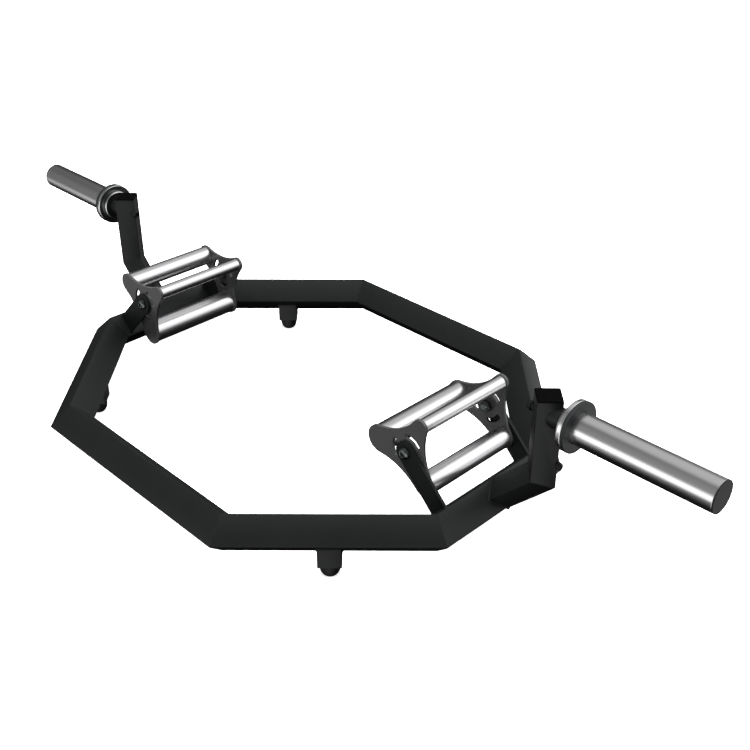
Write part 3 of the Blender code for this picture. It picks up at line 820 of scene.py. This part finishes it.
def slotOutline(angle):
    # Curved slot with round ends, its middle on the circle of the slots' reach
    look = plateLook
    half = look["slotWidth"] / 2
    reach = look["slotReach"]
    start = angle - look["slotSpread"] / 2
    end = angle + look["slotSpread"] / 2

    def endPlace(turn):
        return (reach * math.cos(math.radians(turn)), reach * math.sin(math.radians(turn)))

    outline = arcPoints(reach + half, start, end, look["slotSteps"])
    outline += arcPoints(half, end, end + 180, look["slotEndSteps"], endPlace(end))[1:]
    outline += arcPoints(reach - half, end, start, look["slotSteps"])[1:]
    outline += arcPoints(half, start + 180, start + 360, look["slotEndSteps"], endPlace(start))[1:-1]
    return outline


def plateMesh(name, outlines, thickness):
    # Flat plate with eased edges, from a filled curve whose holes run the other way round
    edge = plateLook["edge"]
    curve = bpy.data.curves.new(name, "CURVE")
    curve.dimensions = "2D"
    curve.fill_mode = "BOTH"
    curve.extrude = thickness / 2 - edge
    curve.bevel_depth = edge
    curve.bevel_resolution = plateLook["edgeSteps"]
    curve.offset = -edge
    for points in outlines:
        spline = curve.splines.new("POLY")
        spline.points.add(len(points) - 1)
        for spot, (x, y) in zip(spline.points, points):
            spot.co = (x, y, 0, 1)
        spline.use_cyclic_u = True
    holder = addObject(name, curve)
    bpy.context.view_layer.update()
    drawn = holder.evaluated_get(bpy.context.evaluated_depsgraph_get())
    mesh = bpy.data.meshes.new_from_object(drawn)
    bpy.data.objects.remove(holder)
    bpy.data.curves.remove(curve)
    mesh.name = name
    mesh.materials.append(materials["platePaint"])
    shape = bmesh.new()
    shape.from_mesh(mesh)
    bmesh.ops.remove_doubles(shape, verts=shape.verts, dist=plateLook["joinWithin"])
    bmesh.ops.recalc_face_normals(shape, faces=shape.faces)
    shape.to_mesh(mesh)
    shape.free()
    mesh.shade_smooth()
    mesh.set_sharp_from_angle(angle=math.radians(plateLook["sharpOver"]))
    for side in mesh.polygons:
        side.use_smooth = abs(side.normal.z) < plateLook["flatOver"]
    return mesh


def buildPlates():
    look = plateLook
    for side in sides:
        pivot = boxMiddle(f"pivot_bolt_{side}_front")
        lobes = []
        for size in gripSizes:
            middle, radius, _, _ = gripShape(side, size)
            lobes.append((Vector((middle.x - pivot.x, middle.z - pivot.z)), radius + look["rim"]))
        lobes.sort(key=lambda lobe: math.atan2(lobe[0].y, lobe[0].x))
        outlines = [plateOutline(lobes)]
        outlines += [slotOutline(heading((0, 0), centre))[::-1] for centre, _ in lobes]
        outlines.append(arcPoints(look["pivotHole"], 360, 0, look["holeSteps"])[:-1])
        for end in ends:
            name = f"drum_plate_{side}_{end}"
            low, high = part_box(name)
            new = f"lobed_plate_{side}_{end}"
            place = Matrix.Translation((pivot.x, (low.y + high.y) / 2, pivot.z))
            addPiece(new, plateMesh(new, outlines, high.y - low.y), f"drum_{side}",
                     place @ Matrix.Rotation(math.radians(90), 4, "X"), (name,))


buildPlates()
print("drum plates built")


# Weld beads, laid along the line where two pieces meet

weldLook = {
    "pitch": 0.0022,      # one ripple
    "perRipple": 3,       # sections a ripple
    "ripple": 0.16,       # how much a ripple swells the bead
    "sides": 8,
    "leastSections": 12,
    "mitreRadius": 0.0022,
    "mitreProud": 0.0002,
    "mitreTurn": 22.5,    # degrees, half of each bend of the frame and of the arm
    "filletRadius": 0.0022,
    "armLift": 0.0002,    # above the end bar's face
    "copeLow": 0.0008,    # least height of a foot's bead over the diagonal's lower corner
    "copeStep": 0.001,
    "bracketRadius": 0.0018,
    "bracketCorner": 0.0003,
    "neckRadius": 0.0009,
    "neckSteps": 96,
    "gripRadius": 0.0008,
    "gripSteps": 64,
}
# The CAD's tubes: their width across and the radius of their corners
tubeSizes = {
    "frame": 0.0508, "frameCorner": 0.002, "post": 0.0381, "postCorner": 0.0015, "foot": 0.0381,
    "footCorner": 0.0015, "diagonalLeg": 0.230,
}


def resampled(points, spacing):
    # Even steps round a closed line
    closed = points + points[:1]
    lengths = [(b - a).length for a, b in zip(closed, closed[1:])]
    total = sum(lengths)
    count = max(weldLook["leastSections"], round(total / spacing))
    result = []
    index = 0
    passed = 0.0
    for step in range(count):
        goal = total * step / count
        while passed + lengths[index] < goal:
            passed += lengths[index]
            index += 1
        share = (goal - passed) / lengths[index]
        result.append(closed[index].lerp(closed[index + 1], share))
    return result


def weldBead(name, line, radius, normal, body, finish):
    # Closed tube round the line, its radius rippled like laid weld metal
    points = resampled(line, weldLook["pitch"] / weldLook["perRipple"])
    count = len(points)
    ripples = max(1, round(count / weldLook["perRipple"]))
    shape = bmesh.new()
    rings = []
    for i, point in enumerate(points):
        way = (points[(i + 1) % count] - points[i - 1]).normalized()
        side = way.cross(normal).normalized()
        up = side.cross(way)
        phase = i * ripples / count % 1
        swell = radius * (1 + weldLook["ripple"] * (0.5 - phase))
        ring = []
        for k in range(weldLook["sides"]):
            angle = 2 * math.pi * k / weldLook["sides"]
            ring.append(shape.verts.new(point + (side * math.cos(angle) + up * math.sin(angle)) * swell))
        rings.append(ring)
    for i in range(count):
        here = rings[i]
        after = rings[(i + 1) % count]
        for k in range(weldLook["sides"]):
            m = (k + 1) % weldLook["sides"]
            shape.faces.new((here[k], here[m], after[m], after[k]))
    bmesh.ops.recalc_face_normals(shape, faces=shape.faces)
    addPiece(name, meshFrom(name, shape, finish), body)


def squareLine(width, depth, corner, turn=0.0, steps=3):
    # Rectangle with rounded corners, turned by some degrees, as (across, up) pairs
    points = []
    for quarter in range(4):
        angle = math.radians(90 * quarter + 45)
        x = math.copysign(width / 2 - corner, math.cos(angle))
        y = math.copysign(depth / 2 - corner, math.sin(angle))
        points += arcPoints(corner, 90 * quarter, 90 * quarter + 90, steps, (x, y))
    c = math.cos(math.radians(turn))
    s = math.sin(math.radians(turn))
    return [(x * c - y * s, x * s + y * c) for x, y in points]


def inPlane(centre, across, up, line):
    # The flat line set in space at the centre
    return [centre + across * u + up * v for u, v in line]


def frameBead(name, line, radius, normal):
    weldBead(name, line, radius, normal, "frame", "framePaint")


def weldFrame():
    # Mitres between the long bars, end bars and diagonals
    endX = boxMiddle("bar_right").x
    sideY = boxMiddle("bar_back").y
    middleZ = boxMiddle("bar_back").z
    leg = tubeSizes["diagonalLeg"]
    radius = weldLook["mitreRadius"]
    sink = radius - weldLook["mitreProud"]
    halfBend = weldLook["mitreTurn"]
    stretch = 1 / math.cos(math.radians(halfBend))
    side = tubeSizes["frame"] - 2 * sink
    outline = [(u * stretch, v) for u, v in squareLine(side, side, tubeSizes["frameCorner"], 45)]
    count = 0
    for xSign in (1, -1):
        for ySign in (1, -1):
            for x, y, turn in ((endX, sideY - leg, halfBend), (endX - leg, sideY, 90 - halfBend)):
                angle = math.radians(turn)
                across = Vector((math.cos(angle) * xSign, math.sin(angle) * ySign, 0))
                centre = Vector((x * xSign, y * ySign, middleZ))
                count += 1
                frameBead(f"mitre_weld_{count}", inPlane(centre, across, zAxis, outline), radius,
                          across.cross(zAxis))


def weldPosts():
    # Arm on the end bar, arm to post, and neck on the post
    tube = tubeSizes["post"]
    corner = tubeSizes["postCorner"]
    outline = squareLine(tube, tube, corner, 45)
    barX = boxMiddle("bar_right").x
    barZ = boxMiddle("bar_right").z
    postX = boxMiddle("post_right").x
    radius = weldLook["mitreRadius"]
    sunk = tube - 2 * (radius - weldLook["mitreProud"])
    turn = math.radians(weldLook["mitreTurn"])
    stretch = 1 / math.cos(turn)
    mitre = [(u * stretch, v) for u, v in squareLine(sunk, sunk, corner, 45)]
    for side, sign in sides.items():
        lean = Vector((sign, 0, 1)).normalized()
        across = Vector((sign, 0, -1)).normalized()
        seat = Vector((barX * sign, 0, barZ)) + lean * (tubeSizes["frame"] / 2 + weldLook["armLift"])
        frameBead(f"arm_weld_{side}", inPlane(seat, across, yAxis, outline), weldLook["filletRadius"], lean)
        bend = Vector((postX * sign, 0, barZ + postX - barX))
        slope = Vector((sign * math.cos(turn), 0, -math.sin(turn)))
        frameBead(f"post_weld_{side}", inPlane(bend, slope, yAxis, mitre), radius, slope.cross(yAxis))
        neck = sleeveStack["neckRadius"]
        sleeveZ = boxMiddle(f"sleeve_{side}").z
        reach = (tube / 2 - corner) * math.sqrt(2) + corner
        line = []
        for y, z in arcPoints(neck, 0, 360, weldLook["neckSteps"])[:-1]:
            line.append(Vector((sign * (postX + min(tube / math.sqrt(2) - abs(y), reach)), y, sleeveZ + z)))
        frameBead(f"neck_weld_{side}", line, weldLook["neckRadius"], Vector((1, 0, 0)))


def weldFeet():
    # Each foot tube is coped over the lower corner of its diagonal
    tube = tubeSizes["foot"]
    frameZ = boxMiddle("bar_back").z
    edge = tubeSizes["frame"] / math.sqrt(2)
    outline = [Vector(spot) for spot in squareLine(tube, tube, tubeSizes["footCorner"])]
    count = 0
    for end, ySign in ends.items():
        for side, sign in sides.items():
            middle = boxMiddle(f"foot_post_{end}_{side}")
            along = Vector((sign, -ySign, 0)).normalized()
            across = Vector((sign, ySign, 0)).normalized()
            line = []
            for u, v in resampled(outline, weldLook["copeStep"]):
                spot = Vector((middle.x, middle.y, 0)) + across * u + along * v
                spot.z = frameZ - edge + max(abs(u), weldLook["copeLow"])
                line.append(spot)
            count += 1
            frameBead(f"foot_weld_{count}", line, weldLook["filletRadius"], zAxis)


def weldBrackets():
    # A bead round each bracket's foot, where it leans inwards off the end bar
    for side, sign in sides.items():
        for end in ends:
            low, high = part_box(f"bracket_{side}_{end}")
            bar = boxMiddle("bar_right")
            lean = Vector((-sign, 0, 1)).normalized()
            up = Vector((sign, 0, 1)).normalized()
            centre = Vector((bar.x * sign, (low.y + high.y) / 2, bar.z)) + lean * (tubeSizes["frame"] / 2)
            outline = squareLine(tubeSizes["foot"], high.y - low.y, weldLook["bracketCorner"])
            line = inPlane(centre, up, yAxis, outline)
            weldBead(f"bracket_weld_{side}_{end}", line, weldLook["bracketRadius"], lean, "frame",
                     "bracketPaint")


def weldGrips():
    for side in sides:
        for size in gripSizes:
            middle, radius, front, back = gripShape(side, size)
            for end, y in (("front", front), ("back", back)):
                circle = arcPoints(radius, 0, 360, weldLook["gripSteps"])[:-1]
                line = [Vector((middle.x + x, y, middle.z + z)) for x, z in circle]
                weldBead(f"grip_weld_{side}_{size}_{end}", line, weldLook["gripRadius"], yAxis,
                         f"drum_{side}", "platePaint")


weldFrame()
weldPosts()
weldFeet()
weldBrackets()
weldGrips()
print("welds laid")


# Floor, light and camera

studio = {
    "floorColour": (0.96, 0.96, 0.96),
    "floorRoughness": 0.9,
    "floorGlow": 0.75,
    "floorSize": 14.0,
    "lampSize": 7.0,       # the lamp overhead, which reflections leave out
    "lampPower": 900.0,
    "lampHeight": 5.0,
    "cardSize": 0.9,       # a white card on the floor, to the right of the bar
    "cardPower": 2.0,
    "cardPlace": (1.05, 0.45, 0.01),
    "low": 0.004,          # what shows in a surface that looks down
    "high": 0.14,          # and in one that looks level or up
    "lowEdge": -0.45,
    "highEdge": 0.05,
}
# Soft boxes round the bar: which way they lie, how wide they are in degrees, and how bright
softBoxes = (
    {"way": (0.58, 0.60, 0.55), "core": 8.0, "edge": 44.0, "strength": 1.5},
    {"way": (-0.05, 0.50, 0.86), "core": 26.0, "edge": 52.0, "strength": 0.50},
    {"way": (-0.38, -0.92, -0.04), "core": 9.0, "edge": 22.0, "strength": 1.8},
    {"way": (-0.30, -0.80, 0.50), "core": 12.0, "edge": 48.0, "strength": 0.18},
    {"way": (0.48, -0.77, -0.42), "core": 21.0, "edge": 44.0, "strength": 1.6},
    {"way": (-0.68, -0.60, -0.42), "core": 6.0, "edge": 20.0, "strength": 1.0},
    {"way": (-0.24, 0.95, -0.20), "core": 5.0, "edge": 20.0, "strength": 1.6},
)
# A black flag keeps light off what faces it
blackFlag = {"way": (-0.74, 0.60, -0.15), "core": 22.0, "edge": 48.0, "keep": 0.1}


def patch(tree, way, box, inside, outside):
    # A soft round patch on the sky, one value inside it and another outside
    dot = addNode(tree, "ShaderNodeVectorMath", operation="DOT_PRODUCT")
    dot.inputs[1].default_value = Vector(box["way"]).normalized()
    tree.links.new(way, dot.inputs[0])
    edge = math.cos(math.radians(box["edge"]))
    core = math.cos(math.radians(box["core"]))
    return addRamp(tree, dot.outputs["Value"], edge, core, outside, inside)


def buildWorld():
    world = bpy.data.worlds.new("studio")
    bpy.context.scene.world = world
    world.use_nodes = True
    tree = world.node_tree
    tree.nodes.clear()
    way = addNode(tree, "ShaderNodeTexCoord").outputs["Generated"]
    parts = addNode(tree, "ShaderNodeSeparateXYZ")
    tree.links.new(way, parts.inputs[0])
    total = addRamp(tree, parts.outputs["Z"], studio["lowEdge"], studio["highEdge"], studio["low"],
                    studio["high"])
    for box in softBoxes:
        total = addMath(tree, "ADD", total, patch(tree, way, box, box["strength"], 0.0))
    total = addMath(tree, "MULTIPLY", total, patch(tree, way, blackFlag, blackFlag["keep"], 1.0))
    # The camera sees plain white in place of the soft boxes
    lit = addNode(tree, "ShaderNodeBackground")
    tree.links.new(total, lit.inputs["Strength"])
    plain = addNode(tree, "ShaderNodeBackground")
    seen = addNode(tree, "ShaderNodeLightPath").outputs["Is Camera Ray"]
    mix = addNode(tree, "ShaderNodeMixShader")
    tree.links.new(seen, mix.inputs[0])
    tree.links.new(lit.outputs[0], mix.inputs[1])
    tree.links.new(plain.outputs[0], mix.inputs[2])
    plain.inputs["Color"].default_value = (1, 1, 1, 1)
    out = addNode(tree, "ShaderNodeOutputWorld")
    tree.links.new(mix.outputs[0], out.inputs["Surface"])


def addLamp(name, size, power, place, way):
    # A round lamp that looks along the way
    lamp = bpy.data.lights.new(name, "AREA")
    lamp.shape = "DISK"
    lamp.size = size
    lamp.energy = power
    holder = addObject(name, lamp)
    holder.location = place
    holder.rotation_euler = way.to_track_quat("-Z", "Y").to_euler()
    holder.visible_camera = False
    return holder


def buildFloor():
    bpy.ops.mesh.primitive_plane_add(size=studio["floorSize"], location=(0, 0, 0))
    floor = bpy.context.object
    floor.name = "floor"
    material, _ = newMaterial(
        "paleFloor", studio["floorColour"], 0.0,
        Roughness=studio["floorRoughness"],
        Specular_IOR_Level=0.0,
        Emission_Color=(1, 1, 1, 1),
        Emission_Strength=studio["floorGlow"],
    )
    floor.data.materials.append(material)
    floor.visible_glossy = False
    floor.visible_diffuse = False
    above = (0, 0, studio["lampHeight"])
    addLamp("floorLight", studio["lampSize"], studio["lampPower"], above, -zAxis).visible_glossy = False
    addLamp("bounceCard", studio["cardSize"], studio["cardPower"], studio["cardPlace"], zAxis)


camera = {
    "place": (1.2783, -1.0838, 1.1174),
    "tilt": 59.07,
    "turn": 45.31,
    "lens": 51.54,
    "sensor": 36.0,
    "nearest": 0.01,
    "furthest": 60.0,
}


def buildCamera():
    data = bpy.data.cameras.new("camera")
    data.lens = camera["lens"]
    data.sensor_width = camera["sensor"]
    data.sensor_fit = "HORIZONTAL"
    data.clip_start = camera["nearest"]
    data.clip_end = camera["furthest"]
    holder = addObject("camera", data)
    holder.location = camera["place"]
    holder.rotation_euler = (math.radians(camera["tilt"]), 0, math.radians(camera["turn"]))
    bpy.context.scene.camera = holder


buildWorld()
buildFloor()
buildCamera()
bpy.context.scene.view_settings.view_transform = "Standard"
print("stage set")

bpy.context.view_layer.update()
